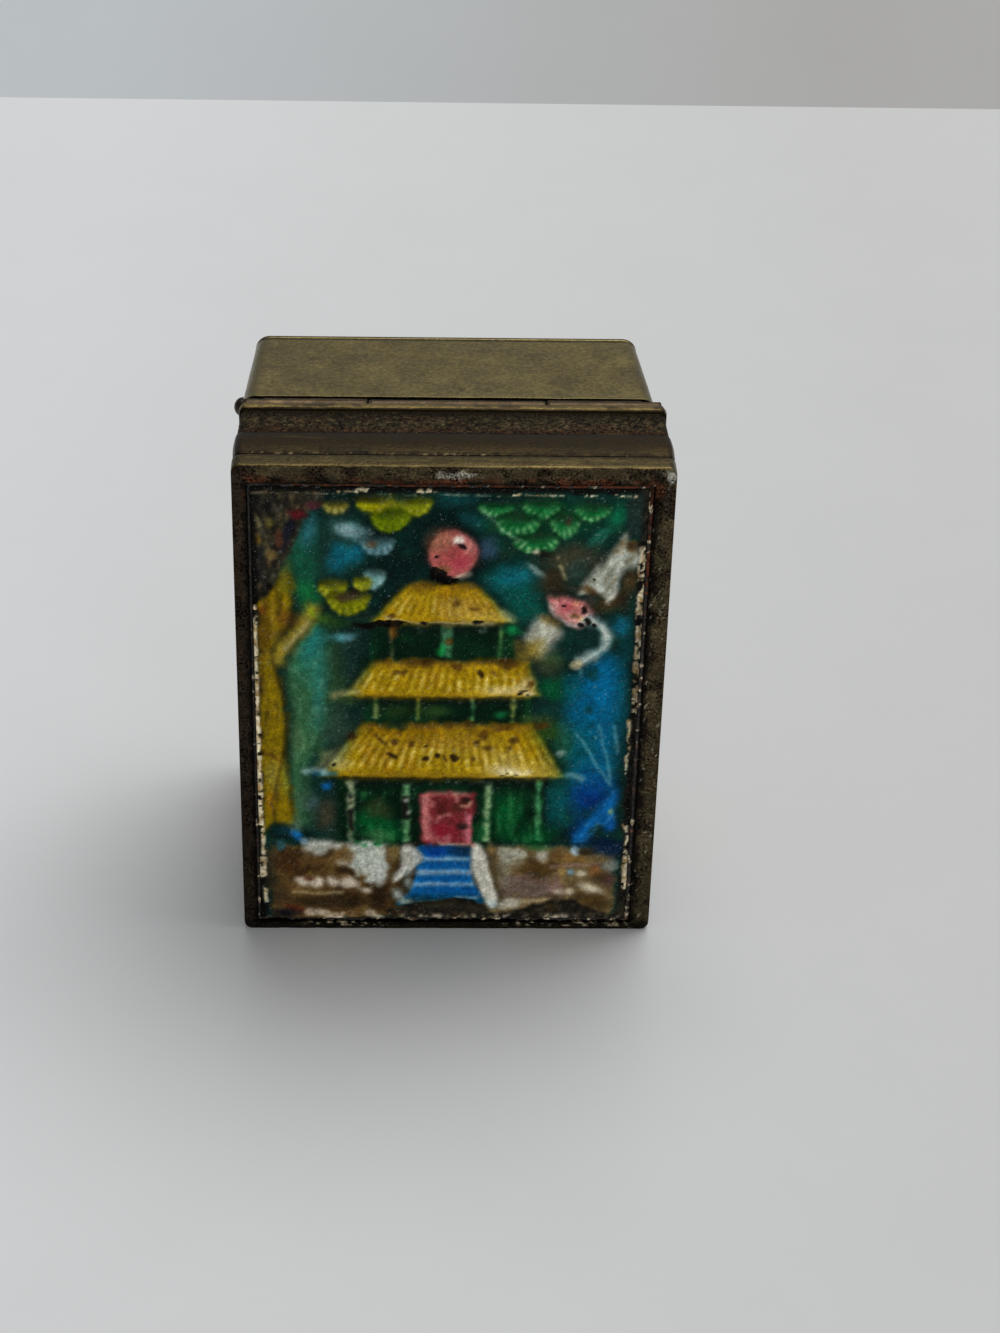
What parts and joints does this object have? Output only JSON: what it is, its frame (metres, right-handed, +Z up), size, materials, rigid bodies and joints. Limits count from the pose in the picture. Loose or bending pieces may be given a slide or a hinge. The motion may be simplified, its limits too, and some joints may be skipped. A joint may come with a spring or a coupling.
{
  "type": "snuff box",
  "caption": "Small hinged brass snuff box with a moulded lid that carries a repousse enamelled plaque of a pagoda, shown closed and standing on its front edge.",
  "frame": {"origin": "centre of the bounding box's lower face, on the surface that the front edge stands on", "axes": "+Z up from the front edge to the hinge, +Y from the lid's face to the base plate, +X to the right as the lid is seen"},
  "size_m": [0.0384, 0.0274, 0.05],
  "materials": {
    "patina_brass": "smooth, olive-brown patina",
    "dark_brass": "dark patina, rough in the hollow, smooth on the round",
    "worn_brass": "dull patina with bright worn edges",
    "hinge_brass": "dull, brown",
    "pin_iron": "dark, domed head",
    "pitch": "rough black setting pitch",
    "copper": "oxidised red copper",
    "enamel": "glossy worn enamel in several colours over a raised metal sheet"
  },
  "bodies": {
    "case": {"body_band": "patina_brass", "base_plate": "patina_brass", "closing_lip": "patina_brass", "hinge_knuckle_left": "hinge_brass", "hinge_knuckle_right": "hinge_brass", "hinge_pin": "pin_iron"},
    "lid": {"face_frame": "worn_brass", "lid_moulding_hinge": "dark_brass", "lid_moulding_front": "dark_brass", "lid_moulding_left": "dark_brass", "lid_moulding_right": "dark_brass", "lid_plate": "dark_brass", "pitch_bed": "pitch", "enamel_plaque": "enamel", "copper_shim_hinge": "copper", "copper_shim_right": "copper", "hinge_knuckle_centre": "hinge_brass"}
  },
  "joints": [
    {"name": "lid_hinge", "type": "hinge", "parent": "case", "child": "lid", "pos_m": [0.00015, -0.0008, 0.04875], "axis": [-1, 0, 0], "range_deg": [0, 118]}
  ]
}
